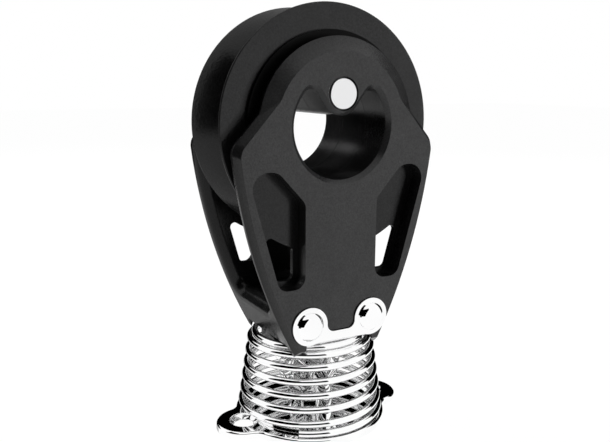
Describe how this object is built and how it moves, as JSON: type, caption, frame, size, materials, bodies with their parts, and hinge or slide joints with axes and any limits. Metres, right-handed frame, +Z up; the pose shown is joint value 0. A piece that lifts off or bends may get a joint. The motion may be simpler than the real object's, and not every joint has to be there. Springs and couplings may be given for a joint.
{
  "type": "stand-up block",
  "caption": "Sailing deck block with a grooved sheave between moulded cheeks, on a swivel strap that a coil spring holds upright over a deck eye.",
  "frame": {"origin": "centre of the base plate's flat underside", "axes": "+Z up from the deck, X along the fixing ears and in the plane of the sheave, Y along the axle"},
  "size_m": [0.06, 0.0418, 0.1118],
  "materials": {
    "polished_steel": "mirror polished stainless steel",
    "spring_steel": "polished stainless spring wire",
    "pin_steel": "faced pin end, satin",
    "plain_steel": "machined stainless steel",
    "cheek_composite": "fine-grained glass-filled composite, near black",
    "sheave_composite": "moulded composite, near black, fine grain",
    "bearing_plastic": "dense bearing plastic",
    "cage_plastic": "moulded acetal",
    "washer_plastic": "acetal thrust washer"
  },
  "bodies": {
    "base": {"base_plate": "polished_steel", "bail": "polished_steel", "spring": "spring_steel"},
    "shackle": {"shackle_bow": "polished_steel", "shackle_pin": "polished_steel"},
    "post": {"swivel_post": "polished_steel", "lower_washer": "washer_plastic", "upper_washer": "plain_steel", "swivel_nut": "plain_steel"},
    "head": {"strap": "polished_steel", "left_rivet": "polished_steel", "right_rivet": "polished_steel", "near_cheek": "cheek_composite", "far_cheek": "cheek_composite", "load_pin": "pin_steel", "hub": "sheave_composite", "near_thrust_ring": "bearing_plastic", "far_thrust_ring": "bearing_plastic"},
    "roller_set": {"rollers": "bearing_plastic", "roller_cage": "cage_plastic"},
    "sheave": {"sheave": "sheave_composite"}
  },
  "joints": [
    {"name": "lean_along", "type": "hinge", "parent": "base", "child": "shackle", "pos_m": [0, 0, 0.01256], "axis": [0, 1, 0], "range_deg": [-15, 15], "stiffness_Nm_per_rad": 0.35, "deforming": ["spring"]},
    {"name": "lean_across", "type": "hinge", "parent": "shackle", "child": "post", "pos_m": [0, 0, 0.0205], "axis": [1, 0, 0], "range_deg": [-15, 15], "stiffness_Nm_per_rad": 0.35, "deforming": ["spring"]},
    {"name": "swivel", "type": "hinge", "parent": "post", "child": "head", "pos_m": [0, 0, 0.027], "axis": [0, 0, 1], "continuous": true, "deforming": ["spring"]},
    {"name": "sheave_spin", "type": "hinge", "parent": "head", "child": "sheave", "pos_m": [0, 0, 0.0818], "axis": [0, 1, 0], "continuous": true},
    {"name": "roller_orbit", "type": "hinge", "parent": "head", "child": "roller_set", "pos_m": [0, 0, 0.0818], "axis": [0, 1, 0], "continuous": true}
  ],
  "couplings": [
    {"joint": "roller_orbit", "follows": "sheave_spin", "ratio": 0.5584}
  ]
}
